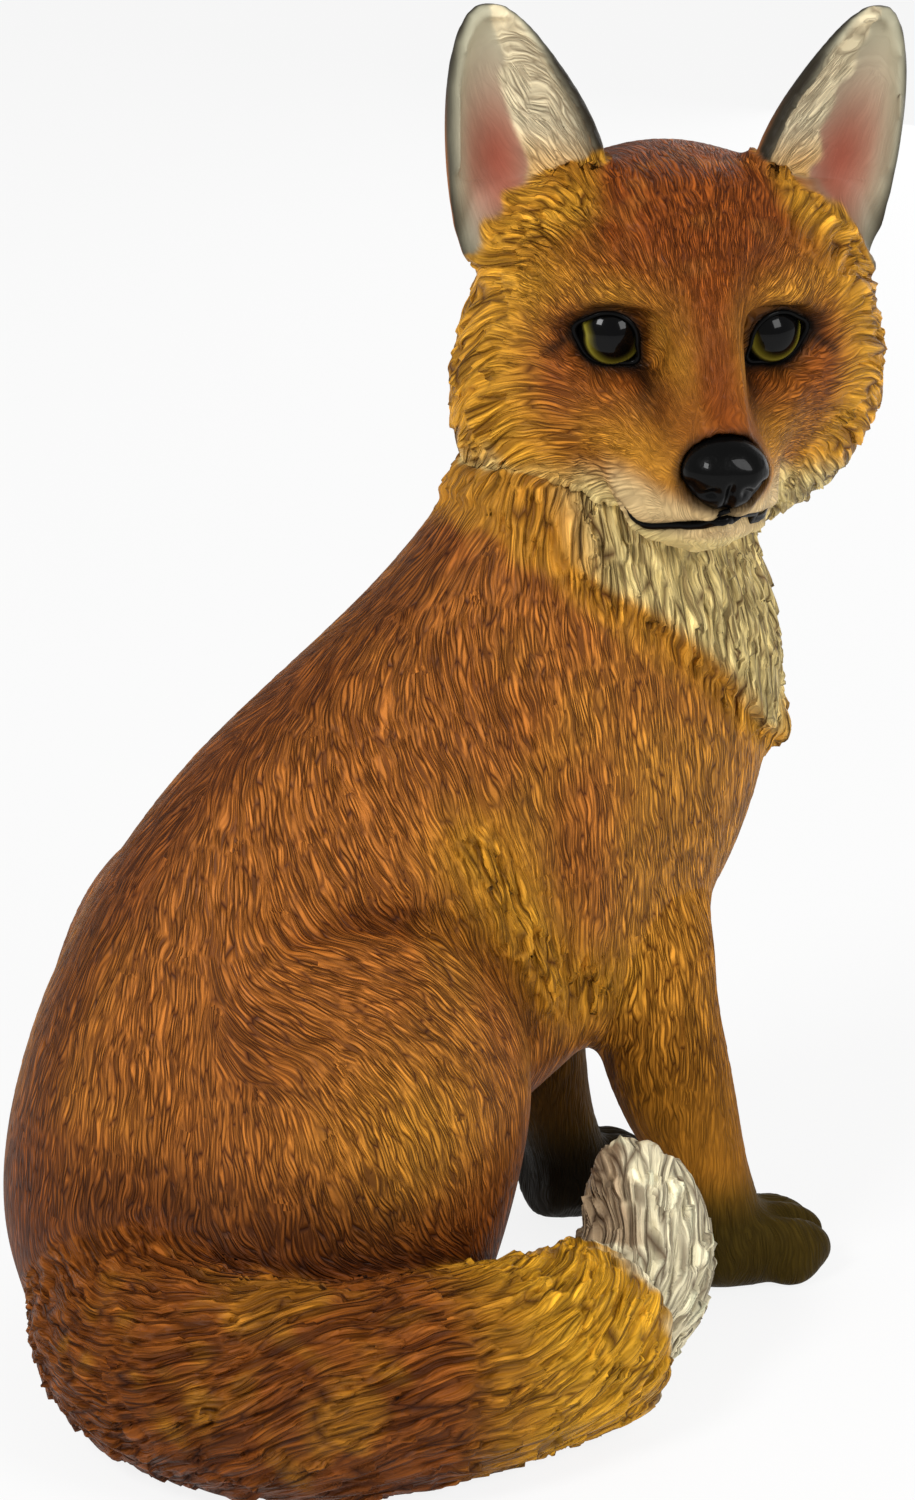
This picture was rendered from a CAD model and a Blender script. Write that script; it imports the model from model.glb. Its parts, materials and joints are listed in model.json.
"""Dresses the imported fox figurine: sculpted fur with airbrushed paint, glass eyes, a black nose, and a studio."""

import json
import math

import bpy
import numpy as np
from mathutils import Matrix, Vector
from mathutils.bvhtree import BVHTree
from mathutils.kdtree import KDTree

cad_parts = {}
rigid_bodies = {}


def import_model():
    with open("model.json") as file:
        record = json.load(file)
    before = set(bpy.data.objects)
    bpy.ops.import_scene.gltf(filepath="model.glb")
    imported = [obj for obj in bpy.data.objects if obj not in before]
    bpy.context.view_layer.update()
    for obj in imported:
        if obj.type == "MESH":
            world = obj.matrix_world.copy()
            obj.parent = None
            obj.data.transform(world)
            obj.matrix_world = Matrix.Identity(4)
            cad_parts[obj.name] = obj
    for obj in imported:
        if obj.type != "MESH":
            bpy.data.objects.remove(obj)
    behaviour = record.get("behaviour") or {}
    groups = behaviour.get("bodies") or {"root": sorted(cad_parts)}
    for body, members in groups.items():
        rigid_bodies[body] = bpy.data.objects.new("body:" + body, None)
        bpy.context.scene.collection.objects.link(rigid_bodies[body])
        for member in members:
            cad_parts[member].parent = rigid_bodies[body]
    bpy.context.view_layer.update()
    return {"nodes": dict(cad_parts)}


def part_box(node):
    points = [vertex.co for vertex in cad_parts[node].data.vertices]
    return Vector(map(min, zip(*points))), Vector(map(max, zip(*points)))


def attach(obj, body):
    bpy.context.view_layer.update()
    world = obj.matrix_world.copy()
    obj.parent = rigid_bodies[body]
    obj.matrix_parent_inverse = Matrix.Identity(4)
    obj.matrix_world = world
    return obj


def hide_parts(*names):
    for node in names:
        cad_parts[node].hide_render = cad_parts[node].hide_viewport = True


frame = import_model()

MM = 0.001

# The head's own directions, as in the part: its middle, then left, up and forwards
SKULL = np.array((-18.0, -144.5, 340.0))
FACE_TURN, FACE_NOD, FACE_ROLL = -108.0, 4.0, 3.0
_turn = Matrix.Rotation(math.radians(FACE_TURN), 3, "Z") @ Matrix.Rotation(math.radians(FACE_NOD), 3, "X")
FACE_OUT = np.array(_turn @ Vector((0, -1, 0)))
FACE_LEFT = np.array(_turn @ Matrix.Rotation(math.radians(FACE_ROLL), 3, "Y") @ Vector((1, 0, 0)))
FACE_UP = np.cross(FACE_OUT, FACE_LEFT)
FACE_AXES = np.array((FACE_LEFT, FACE_UP, FACE_OUT))

# The tail's middle line on the floor, from the rump round the fox's right side, and the brush's radius there
TAIL_LINE = [
    (25, 33, 29), (-9, 53, 34), (-51, 66, 36), (-88, 55, 35), (-110, 24, 34),
    (-113, -13, 33), (-110, -46, 32), (-99, -72, 30), (-92, -88, 34), (-86, -97, 44),
    (-83, -98, 56), (-81, -95, 68), (-81, -91, 80),
]

FUSED_NODES = [
    "torso_shell", "head_shell", "left_ear", "right_ear", "left_foreleg", "right_foreleg",
    "left_hind_paw", "right_hind_paw", "tail", "tail_tip",
]
SEALING_NODES = ["base_plate", "left_eye_lens", "right_eye_lens", "left_eye_iris", "right_eye_iris"]
SKIN_VOXEL = 2.2


def smooth_step(low, high, value):
    """0 below low, 1 above high, and an even rise between them."""
    t = np.clip((value - low) / (high - low), 0, 1)
    return t * t * (3 - 2 * t)


def bell(distance, radius):
    """1 at no distance, falling away over the radius."""
    return np.exp(-((distance / radius) ** 2))


def linear(red, green, blue):
    """A colour written as on a screen, 0 to 255, as light."""
    c = np.array((red, green, blue)) / 255.0
    return np.where(c <= 0.04045, c / 12.92, ((c + 0.055) / 1.055) ** 2.4)


# Working with objects


def only(obj):
    """Makes obj the one selected and active object."""
    bpy.ops.object.select_all(action="DESELECT")
    obj.select_set(True)
    bpy.context.view_layer.objects.active = obj


def apply_modifier(obj, kind, **settings):
    """Adds a modifier and applies it at once."""
    only(obj)
    modifier = obj.modifiers.new(kind.title(), kind)
    for name, value in settings.items():
        setattr(modifier, name, value)
    bpy.ops.object.modifier_apply(modifier=modifier.name)


def listed(items, key, width=1, kind=float):
    """One property of every item, as an array with a row for each item."""
    values = np.empty(len(items) * width, dtype=kind)
    items.foreach_get(key, values)
    return values if width == 1 else values.reshape(-1, width)


def points_of(obj):
    """The places of a mesh's vertices, in millimetres."""
    return listed(obj.data.vertices, "co", 3) / MM


def put_points(obj, points):
    """Moves a mesh's vertices to these places, in millimetres."""
    obj.data.vertices.foreach_set("co", (points * MM).ravel())
    obj.data.update()


def normals_of(obj):
    """The direction out of the surface at each vertex."""
    return listed(obj.data.vertices, "normal", 3)


def edges_of(obj):
    """The two vertices of each edge."""
    return listed(obj.data.edges, "vertices", 2, np.int64)


class Web:
    """A mesh's vertices with the neighbours that its edges give them."""

    def __init__(self, count, edges):
        self.count, self.a, self.b = count, edges[:, 0], edges[:, 1]
        self.degree = np.maximum(np.bincount(self.a, minlength=count) + np.bincount(self.b, minlength=count), 1)

    def around(self, values):
        """The mean of each vertex's neighbours."""
        columns = values.reshape(self.count, -1)
        out = np.empty_like(columns)
        for k in range(columns.shape[1]):
            v = columns[:, k]
            out[:, k] = np.bincount(self.a, v[self.b], self.count) + np.bincount(self.b, v[self.a], self.count)
        return (out / self.degree[:, None]).reshape(values.shape)

    def relax(self, values, weight, rounds):
        """Evens the values out, by the weight at each vertex."""
        w = weight if values.ndim == 1 else weight[:, None]
        for _ in range(rounds):
            values = values + w * (self.around(values) - values)
        return values


# One skin over all the cast pieces


def fused_skin():
    """Copies of the cast pieces run together into one closed skin."""
    bpy.ops.object.select_all(action="DESELECT")
    for name in FUSED_NODES + SEALING_NODES:
        copy = bpy.data.objects.new(name + "_copy", frame["nodes"][name].data.copy())
        bpy.context.collection.objects.link(copy)
        copy.select_set(True)
        bpy.context.view_layer.objects.active = copy
    low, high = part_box("base_plate")
    middle = (low + high) / 2
    plug_radius = 10 * MM
    bpy.ops.mesh.primitive_cylinder_add(radius=plug_radius, depth=high.z - low.z, location=middle)
    plug = bpy.context.active_object
    bpy.ops.mesh.primitive_uv_sphere_add(segments=48, ring_count=24, radius=MM, location=SKULL * MM)
    ball = bpy.context.active_object
    ball.scale = (40, 40, 40)
    for name in FUSED_NODES + SEALING_NODES:
        bpy.data.objects[name + "_copy"].select_set(True)
    plug.select_set(True)
    ball.select_set(True)
    bpy.context.view_layer.objects.active = bpy.data.objects[FUSED_NODES[0] + "_copy"]
    bpy.ops.object.join()
    skin = bpy.context.active_object
    skin.name = skin.data.name = "skin"
    bpy.ops.object.mode_set(mode="EDIT")
    bpy.ops.mesh.select_all(action="SELECT")
    bpy.ops.mesh.remove_doubles(threshold=1e-6)
    bpy.ops.object.mode_set(mode="OBJECT")
    skin.data.materials.clear()
    apply_modifier(skin, "REMESH", mode="VOXEL", voxel_size=SKIN_VOXEL * MM, use_smooth_shade=True)
    top = int(points_of(skin)[:, 2].argmax())
    bpy.ops.object.mode_set(mode="EDIT")
    bpy.ops.mesh.select_mode(type="VERT")
    bpy.ops.mesh.select_all(action="DESELECT")
    bpy.ops.object.mode_set(mode="OBJECT")
    skin.data.vertices[top].select = True
    bpy.ops.object.mode_set(mode="EDIT")
    bpy.ops.mesh.select_linked()
    bpy.ops.mesh.select_all(action="INVERT")
    bpy.ops.mesh.delete(type="VERT")
    bpy.ops.object.mode_set(mode="OBJECT")
    return skin


def distances_to_nodes(points):
    """How far each point is from each cast piece, by the piece's name."""
    found = {}
    for name in FUSED_NODES:
        vertices = frame["nodes"][name].data.vertices
        tree = KDTree(len(vertices))
        for i, v in enumerate(vertices):
            tree.insert(v.co, i)
        tree.balance()
        low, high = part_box(name)
        reach = 25
        inside = np.all((points > np.array(low) / MM - reach) & (points < np.array(high) / MM + reach), axis=1)
        distance = np.full(len(points), 1000.0)
        for i in np.flatnonzero(inside):
            distance[i] = tree.find(points[i] * MM)[2] / MM
        found[name] = distance
    return found


# Where the skin's parts are


def head_places(points):
    """Left, up and forwards of each point in the head's own directions."""
    return (points - SKULL) @ FACE_AXES.T


def tail_places(points):
    """For each point, how far along the tail it is, the tail's direction there, and the way out from its middle."""
    line = np.array(TAIL_LINE, float)
    starts, steps = line[:-1], np.diff(line, axis=0)
    lengths = np.linalg.norm(steps, axis=1)
    begins = np.concatenate(([0], np.cumsum(lengths)[:-1]))
    nearest = np.full(len(points), 1e9)
    along = np.zeros(len(points))
    heading = np.zeros((len(points), 3))
    outward = np.zeros((len(points), 3))
    for start, step, length, begin in zip(starts, steps, lengths, begins):
        share = np.clip(((points - start) @ step) / length**2, 0, 1)
        away = points - start - share[:, None] * step
        distance = np.linalg.norm(away, axis=1)
        closer = distance < nearest
        nearest[closer] = distance[closer]
        along[closer] = begin + share[closer] * length
        heading[closer] = step / length
        outward[closer] = away[closer] / np.maximum(distance[closer], 1e-6)[:, None]
    return along, heading, outward


def unit(vectors):
    """The same directions at length one."""
    return vectors / np.maximum(np.linalg.norm(vectors, axis=-1, keepdims=True), 1e-9)


def flat_to(vectors, normals):
    """Vectors laid flat on the surface."""
    return vectors - (vectors * normals).sum(1, keepdims=True) * normals


# An ear's middle and half width at heights over the skull's middle
EAR_HEIGHT = 101.0
EAR_RISES = (0.08, 0.22, 0.40, 0.56, 0.72, 0.86, 0.95, 0.99)
EAR_MIDDLES = (46, 47, 48.3, 51, 55.4, 59.8, 62.6, 64)
EAR_HALVES = (20, 24, 26.3, 25.5, 21.3, 15.1, 8.8, 3.0)


def ear_places(local):
    """For points in the head's directions: which side, how high up the ear, and how far across it from -1 at the
    inner edge to 1 at the outer."""
    side = np.where(local[:, 0] < 0, -1, 1)
    rise = local[:, 1] / EAR_HEIGHT
    middle, half = np.interp(rise, EAR_RISES, EAR_MIDDLES), np.interp(rise, EAR_RISES, EAR_HALVES)
    return side, rise, (np.abs(local[:, 0]) - middle) / half


# The cast pieces by their places in FUSED_NODES
TORSO, HEAD, LEFT_EAR, RIGHT_EAR, LEFT_FORELEG, RIGHT_FORELEG = range(6)
LEFT_HIND_PAW, RIGHT_HIND_PAW, TAIL, TAIL_TIP = range(6, 10)
EARS, FORELEGS, HIND_PAWS = (LEFT_EAR, RIGHT_EAR), (LEFT_FORELEG, RIGHT_FORELEG), (LEFT_HIND_PAW, RIGHT_HIND_PAW)
TAILED = (TORSO, TAIL, TAIL_TIP)

# Joints that are modelled over: the two pieces, how far from the joint, and how many rounds
SMOOTHED_JOINTS = [
    ("torso_shell", "left_foreleg", 16, 60),
    ("torso_shell", "right_foreleg", 16, 60),
    ("torso_shell", "left_hind_paw", 8, 20),
    ("torso_shell", "right_hind_paw", 8, 20),
    ("torso_shell", "head_shell", 10, 20),
    ("head_shell", "left_ear", 7, 14),
    ("head_shell", "right_ear", 7, 14),
]

# Combing strokes on the right side, mirrored to the left: where, which way, and how far they reach
COMB_STROKES = [
    ((-80, 35, 150), (0, -1, 0.15), 24),
    ((-85, 0, 160), (0, -1, -0.1), 26),
    ((-88, -38, 145), (0, -0.8, -0.7), 24),
    ((-90, -62, 115), (0, -0.15, -1), 26),
    ((-92, 5, 110), (0, -0.5, -0.9), 34),
    ((-90, 35, 85), (0, -0.25, -1), 30),
    ((-90, -35, 60), (0, -0.35, -0.9), 30),
    ((-85, -5, 35), (0, -0.6, -0.7), 30),
    ((-70, 50, 40), (-0.5, 0.1, -0.8), 30),
    ((-60, -10, 200), (0, -0.45, -0.9), 34),
    ((-55, -60, 205), (0, -0.3, -1), 30),
    ((-45, -150, 165), (-0.1, -0.5, -0.85), 28),
    ((-55, -120, 215), (0, -0.1, -1), 30),
]

# Which way the fur lies far from any stroke, the spot before the nose that the face's fur spreads from, and
# which way the fur lies over the top of the tail's tip
UNCOMBED = (0.0, 0.0, -0.35)
WHORL = (0, -24, 86)
OVER_THE_TIP = (0.8, -0.5, 0.6)


def labels_of(points, near):
    """Which cast piece each point belongs to. The fur in front of the ears counts as the head's."""
    found = np.argmin(np.stack([near[name] for name in FUSED_NODES]), axis=0)
    local = head_places(points)
    under = over_fringe(local) < 0.3 + 2.5 * grain(local[:, 0] / 5, local[:, 1] / 9, 12)
    found[np.isin(found, EARS) & under & (local[:, 2] > -15)] = HEAD
    return found


def combed(points, normals, near, labels):
    """Which way the fur lies at each point, flat on the surface."""
    flow = np.tile(UNCOMBED, (len(points), 1))
    for place, way, reach in COMB_STROKES:
        for side in (1, -1):
            middle = np.array(place, float) * (side, 1, 1)
            direction = unit(np.array(way, float) * (side, 1, 1))
            flow += bell(np.linalg.norm(points - middle, axis=1), reach)[:, None] * direction

    local = head_places(points)
    radial = unit(local - np.array(WHORL))
    sideways = smooth_step(25, 60, np.abs(local[:, 0])) * smooth_step(35, 0, local[:, 2])
    behind = smooth_step(5, -35, local[:, 2])
    radial[:, 1] -= 0.9 * sideways + 1.6 * behind
    for side in (-1, 1):
        off = local - np.array((side * 28.5, 3.0, 30.0))
        distance = np.linalg.norm(off, axis=1)
        push = off / np.maximum(distance, 1e-6)[:, None]
        radial -= (bell(distance, 20) * np.minimum((radial * push).sum(1), 0))[:, None] * push
    on_head = smooth_step(1.0, -1.0, near["head_shell"] - near["torso_shell"])
    flow = unit(flow) * (1 - on_head)[:, None] + unit(radial) @ FACE_AXES * on_head[:, None]
    side, _, share = ear_places(local)
    lean = side * (0.35 + 0.75 * smooth_step(0.3, -0.2, share))
    slant = np.stack([lean, np.full(len(points), 0.8), np.zeros(len(points))], axis=1)
    on_ears = np.isin(labels, EARS)
    flow[on_ears] = unit(slant[on_ears]) @ FACE_AXES

    along, heading, outward = tail_places(points)
    swirl = np.cross(heading, outward)
    turn = np.radians(18 + 16 * np.sin(along / 17))
    tail_flow = heading * np.cos(turn)[:, None] - swirl * np.sin(turn)[:, None]
    over_top = smooth_step(292, 314, along)[:, None]
    tail_flow = tail_flow * (1 - over_top) + np.array(OVER_THE_TIP) * over_top
    tail_near = np.minimum(near["tail"], near["tail_tip"])
    on_tail = (smooth_step(6.0, -2.0, tail_near - near["torso_shell"]) * np.isin(labels, TAILED))[:, None]
    flow = flow * (1 - on_tail) + tail_flow * on_tail
    return unit(flat_to(flow, normals))


def laid_out(points, edges, target, held):
    """A value for each point, so that its rise along every held edge comes nearest to the target slope."""
    a, b = edges[:, 0], edges[:, 1]
    count = len(points)
    want = ((target[a] + target[b]) / 2 * (points[b] - points[a])).sum(1) * held
    rhs = np.bincount(b, want, count) - np.bincount(a, want, count)
    diagonal = np.bincount(a, held, count) + np.bincount(b, held, count) + 1e-6

    def matrix(x):
        rise = (x[b] - x[a]) * held
        return np.bincount(b, rise, count) - np.bincount(a, rise, count) + 1e-6 * x

    x = np.zeros(count)
    r = rhs - matrix(x)
    z = r / diagonal
    p = z.copy()
    rz = r @ z
    for _ in range(LAYOUT_ROUNDS):
        q = matrix(p)
        step = rz / (p @ q)
        x += step * p
        r -= step * q
        z = r / diagonal
        new = r @ z
        p = z + (new / rz) * p
        rz = new
    return x


LAYOUT_ROUNDS = 110
PATCH_COUNT = 190
# How much finer than on the body the fur is, on the face, and on the ruff and the tail
FACE_FINENESS, RUFF_FINENESS = 2.0, 0.78


def spread_out(points, count, start):
    """Picks that many points, each as far as possible from the ones before."""
    distance = start.copy()
    picked = []
    for _ in range(count):
        far = int(distance.argmax())
        picked.append(far)
        distance = np.minimum(distance, np.linalg.norm(points - points[far], axis=1))
    return np.array(picked)


def nearest_two(points, seeds):
    """The nearest of the seeds to each point, and how much farther the next one is."""
    best = np.full(len(points), 1e9)
    second = best.copy()
    owner = np.zeros(len(points), dtype=np.int64)
    for k, seed in enumerate(seeds):
        distance = np.linalg.norm(points - seed, axis=1)
        closer = distance < best
        second = np.where(closer, best, np.minimum(second, distance))
        owner[closer] = k
        best = np.minimum(best, distance)
    return owner, second - best


def fur_maps(points, normals, flow, edges):
    """Two sets of coordinates across and along the fur, laid out in patches, and how far each point is inside
    its patch of the first set."""
    across_way = np.cross(normals, flow)
    first = spread_out(points, PATCH_COUNT, points[:, 2] + 1000)
    apart = np.min([np.linalg.norm(points - points[k], axis=1) for k in first], axis=0)
    second = spread_out(points, PATCH_COUNT, apart)
    maps = []
    for turn, picked in enumerate((first, second)):
        owner, margin = nearest_two(points, points[picked])
        held = (owner[edges[:, 0]] == owner[edges[:, 1]]).astype(float)
        place = np.stack([laid_out(points, edges, way, held) for way in (across_way, flow)], axis=1)
        seeds = points[picked]
        local = head_places(seeds)
        rim = np.hypot(local[:, 0] / 70, (local[:, 1] + 8) / 62)
        face = (local[:, 2] > 2) & (rim < 0.8) & (local[:, 1] > -40)
        ruff = (local[:, 2] > -45) & (local[:, 1] < 35) & (np.abs(local).max(axis=1) < 80) & ~face
        tail = (tail_places(seeds)[0] > 40) & (seeds[:, 2] < 75) & (seeds[:, 0] < -75)
        scale = np.where(face, FACE_FINENESS, np.where(ruff | tail, RUFF_FINENESS, 1.0))[owner]
        place *= scale[:, None]
        shift = np.stack([owner * 83.1 + turn * 31.7, owner * 59.3 + turn * 47.9], axis=1) % 1999
        maps.append((place + shift, scale))
        if turn == 0:
            inside = margin
    return maps, inside


# Sculpting

# The crease over the right haunch and the groove behind the shoulder, each mirrored to the left
HAUNCH_CREASE = [
    (-53, 13, 166), (-55, -5, 168), (-57, -23, 166), (-58, -40, 161), (-60, -53, 152), (-60, -65, 136),
    (-58, -76, 115),
]
SHOULDER_GROOVE = [
    (-40, -62, 234), (-50, -74, 215), (-55, -82, 196), (-57, -85, 178), (-58, -85, 160), (-57, -87, 142),
    (-54, -91, 120),
]
# The loose fur between belly and elbow, and the curl under the bib
BELLY_PITS = [(-57, -52, 182), (-58, -62, 165), (-58, -72, 148), (-56, -82, 132), (-51, -98, 122)]
BREAST_CURL = (-18, -186, 192)


def path_distance(points, path):
    """How far each point is from a path of straight steps."""
    path = np.array(path, float)
    best = np.full(len(points), 1e9)
    for start, step in zip(path[:-1], np.diff(path, axis=0)):
        share = np.clip((points - start) @ step / (step @ step), 0, 1)
        best = np.minimum(best, np.linalg.norm(points - start - share[:, None] * step, axis=1))
    return best


def to_right(points):
    """The points, with the fox's left side folded onto its right."""
    return np.stack([-np.abs(points[:, 0]), points[:, 1], points[:, 2]], axis=1)


def sculpt_body(points, normals, near, labels, web):
    """Models the joints over and cuts the creases of the body."""
    for first, second, reach, rounds in SMOOTHED_JOINTS:
        weight = 0.6 * smooth_step(reach, 0, np.maximum(near[first], near[second]))
        points = web.relax(points, weight, rounds)
    torso = labels == TORSO
    rear = torso * smooth_step(8, 45, points[:, 1])
    root = smooth_step(24, 0, np.maximum(near["torso_shell"], near["tail"])) * smooth_step(-75, -55, points[:, 0])
    points = web.relax(points, 0.5 * np.maximum(rear, root * (points[:, 1] > 0)), 90)
    points = web.relax(points, 0.4 * torso, 6)
    points = sculpt_ears(points, web)
    points = sculpt_head(points, labels, web)
    folded = to_right(points)
    depth = 3.2 * bell(path_distance(folded, HAUNCH_CREASE), 5.5)
    depth += 2.5 * bell(path_distance(folded, SHOULDER_GROOVE), 8)
    depth -= 2.0 * bell(path_distance(folded + (0, 0, -13), HAUNCH_CREASE), 9)
    depth -= 5.0 * bell(np.linalg.norm(points - BREAST_CURL, axis=1), 7)
    return points - normals * (depth * (torso | (labels == HEAD)))[:, None]


# The fur's edge in front of the ears: how high it is at distances from the head's middle
FRINGE_LEFTS = (20, 28, 35, 46, 56, 62, 66, 72)
FRINGE_UPS = (54, 51.5, 46, 39, 33, 25, 16, 6)


def over_fringe(local):
    """How far each point is above the fur's edge in front of the ears."""
    return local[:, 1] - np.interp(np.abs(local[:, 0]), FRINGE_LEFTS, FRINGE_UPS)


def sculpt_ears(points, web):
    """Carries the ears' cups down behind the fringe of fur."""
    local = head_places(points)
    _, _, share = ear_places(local)
    above = over_fringe(local)
    cup = -14 + 6 * smooth_step(0.55, 0.95, np.abs(share))
    ear = (local[:, 2] > -17) * smooth_step(30, 36, np.abs(local[:, 0])) * smooth_step(48, 43, local[:, 1])
    pull = ear * smooth_step(-1.5, 2.0, above)
    local[:, 2] -= pull * np.maximum(local[:, 2] - cup, 0)
    points = SKULL + local @ FACE_AXES
    near = smooth_step(16, 6, np.abs(above - 3)) * smooth_step(30, 36, np.abs(local[:, 0]))
    near *= (local[:, 2] > -18) & (local[:, 1] < 56)
    points = web.relax(points, 0.5 * near, 25)
    local = head_places(points)
    lip = bell(over_fringe(local) + 3.5, 4.0) * smooth_step(-24, -12, local[:, 2])
    lip *= smooth_step(24, 34, np.abs(local[:, 0]))
    return points + (lip * 3.0)[:, None] * (0.75 * FACE_OUT + 0.65 * FACE_UP)


# Swellings and hollows of the face: left (both sides), up, forwards, how wide, how far out
FACE_FORMS = [
    (19, 22, 42, 10, 2.4), (40, -14, 22, 14, 2.0), (13, -36, 72, 10, 2.0), (0, -47, 60, 13, 6.0),
    (15, -46, 54, 10, 5.5), (23, -42, 46, 11, 5.0), (20, -27, 54, 9, -1.6), (48, 12, 15, 14, 1.5),
    (0, 28, 42, 9, -1.6), (28, 56, -8, 12, 3.0), (30, -52, 32, 12, 3.0),
]
# How far out the cheeks are moved, and the line between the lips in the head's directions
CHEEK_SHIFT = 3.0
MOUTH_LINE = [
    (-25, -47.0, 52), (-19.5, -50.5, 57), (-13.3, -48.2, 65), (-6, -44.5, 76), (-2, -42.0, 80), (2, -40.5, 81),
    (9, -43.0, 76), (17, -46.0, 67), (24, -48.0, 55),
]
# An eye: half its opening's width and height, its place and turn to the side, how far its lids stand out, its ball,
# and where round it its corners are
EYE_WIDE, EYE_HIGH = 9.4, 8.8
EYE_SPREAD, EYE_UP, EYE_OUT, EYE_TURN = 27.0, 2.0, 27.5, 16.0
LID_HEIGHT = 2.6
BALL_RADIUS, BALL_SINK = 12.0, 5.5
OUTER_CORNER, INNER_CORNER = math.radians(15), math.radians(-142)
# Half the nose's width, height and depth, and the place of its middle in the head's directions
NOSE_SIZE, NOSE_MIDDLE = (14.0, 11.8, 9.8), (0.5, -25.5, 79.0)
# Where the gaps between the toes are, from -1 to 1 across a paw
TOE_GAPS = (-0.46, 0.0, 0.46)


def eye_axes(side):
    """The middle of an eye's opening, and its directions to the left, up and out."""
    turn = math.radians(side * EYE_TURN)
    out = FACE_OUT * math.cos(turn) + FACE_LEFT * math.sin(turn)
    left = FACE_LEFT * math.cos(turn) - FACE_OUT * math.sin(turn)
    middle = SKULL + np.array((side * EYE_SPREAD, EYE_UP, EYE_OUT)) @ FACE_AXES
    return middle, np.array((left, FACE_UP, out))


def eye_reach(angle):
    """How much farther an eye's opening reaches than an ellipse, by the angle from the side of the head."""
    outer = np.abs((angle - OUTER_CORNER + math.pi) % (2 * math.pi) - math.pi)
    inner = np.abs((angle - INNER_CORNER + math.pi) % (2 * math.pi) - math.pi)
    return 1 + 0.24 * bell(outer, 0.36) + 0.30 * bell(inner, 0.32)


def eye_ring(points, side):
    """Each point's place before an eye, and how far out it is: 1 on the edge of the opening."""
    middle, axes = eye_axes(side)
    place = (points - middle) @ axes.T
    angle = np.arctan2(place[:, 1], side * place[:, 0])
    return place, np.hypot(place[:, 0] / EYE_WIDE, place[:, 1] / EYE_HIGH) / eye_reach(angle)


def sculpt_toes(points, normals, labels):
    """Four toes on each paw."""
    lift = np.zeros(len(points))
    for leg in FORELEGS + HIND_PAWS:
        paw = points[(labels == leg) & (points[:, 2] < 24)]
        low, high = paw.min(0), paw.max(0)
        half = (high[0] - low[0]) / 2
        across = (points[:, 0] - low[0]) / half - 1
        gap = np.min([np.abs(across - g) for g in TOE_GAPS], axis=0) * half
        front = smooth_step(low[1] + 26, low[1] + 14, points[:, 1]) * smooth_step(34, 24, points[:, 2])
        lift += front * (labels == leg) * (1.2 - 3.6 * bell(gap, 2.1))
    return points + normals * lift[:, None]


def sculpt_head(points, labels, web):
    """Narrows the bridge between the eyes and shifts the cheeks."""
    local = head_places(points)
    left, up, out = local.T
    pinch = smooth_step(-30, -8, up) * smooth_step(26, 8, up - 12) * smooth_step(22, 36, out)
    pinch *= smooth_step(34, 25, np.abs(left))
    narrow = 0.46 * pinch * smooth_step(4, 16, np.abs(left))
    local[:, 0] = left * (1 - narrow)
    local[:, 2] -= 5.0 * smooth_step(10, 20, np.abs(left)) * pinch
    local[:, 0] += CHEEK_SHIFT * smooth_step(40, 62, np.abs(left)) * smooth_step(34, 10, up) * (labels == HEAD)
    points = SKULL + local @ FACE_AXES
    near = pinch * smooth_step(6, 14, np.abs(left))
    return web.relax(points, 0.5 * near, 12)


def sculpt_face(points, normals, labels):
    """Brows, cheeks, whisker pads, chin, mouth and the eyes' openings."""
    local = head_places(points)
    folded = np.stack([np.abs(local[:, 0]), local[:, 1], local[:, 2]], axis=1)
    front = (labels == HEAD) & (local[:, 2] > -5)
    lift = np.zeros(len(points))
    for left, up, out, wide, amount in FACE_FORMS:
        lift += amount * bell(np.linalg.norm(folded - (left, up, out), axis=1), wide)
    points = points + normals * (lift * (labels == HEAD))[:, None]
    local = head_places(points)
    mouth = path_distance(local, MOUTH_LINE)
    lift = 1.2 * bell(path_distance(local + (0, 5, 1), MOUTH_LINE), 3.5)
    lift += bell(path_distance(local - (0, 4, 1), MOUTH_LINE), 3.5)
    lift -= 3.0 * bell(mouth, 2.4) + 1.4 * bell(path_distance(local, [(0, -34, 82), (0, -41, 80)]), 1.8)
    points = points + normals * (lift * front)[:, None]
    inside_nose = np.linalg.norm((head_places(points) - NOSE_MIDDLE) / NOSE_SIZE, axis=1)
    points = points - (7.0 * smooth_step(1.12, 0.75, inside_nose) * front)[:, None] * FACE_OUT
    for side in (-1, 1):
        axes = eye_axes(side)[1]
        place, ring = eye_ring(points, side)
        close = front & (np.abs(place[:, 2]) < 22) & (ring < 2.2)
        lid = LID_HEIGHT + 0.9 * place[:, 1] / EYE_HIGH
        pull = np.where(ring < 1.0, 1.0, bell(ring - 1.0, 0.42)) * close
        target = np.where(ring < 1.0, lid - 7 * smooth_step(1.0, 0.8, ring), lid + 0.8 * bell(ring - 1.2, 0.15))
        points = points + (pull * (target - place[:, 2]))[:, None] * axes[2]
    return points


def chance_of(a, b, seed):
    """An even chance from 0 to 1 for each pair of whole numbers."""
    h = (a * 374761393 + b * 668265263 + seed * 1274126177) & 0x7FFFFFFF
    h = ((h ^ (h >> 13)) * 1103515245) & 0x7FFFFFFF
    return ((h ^ (h >> 16)) & 0xFFFF) / 65535


def grain(u, v, seed):
    """Even noise from -1 to 1, with about one swell to each unit of u and v."""
    iu, iv = np.floor(u).astype(np.int64), np.floor(v).astype(np.int64)
    fu, fv = smooth_step(0, 1, u - iu), smooth_step(0, 1, v - iv)
    low = chance_of(iu, iv, seed) * (1 - fu) + chance_of(iu + 1, iv, seed) * fu
    high = chance_of(iu, iv + 1, seed) * (1 - fu) + chance_of(iu + 1, iv + 1, seed) * fu
    return 2 * (low * (1 - fv) + high * fv) - 1


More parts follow.
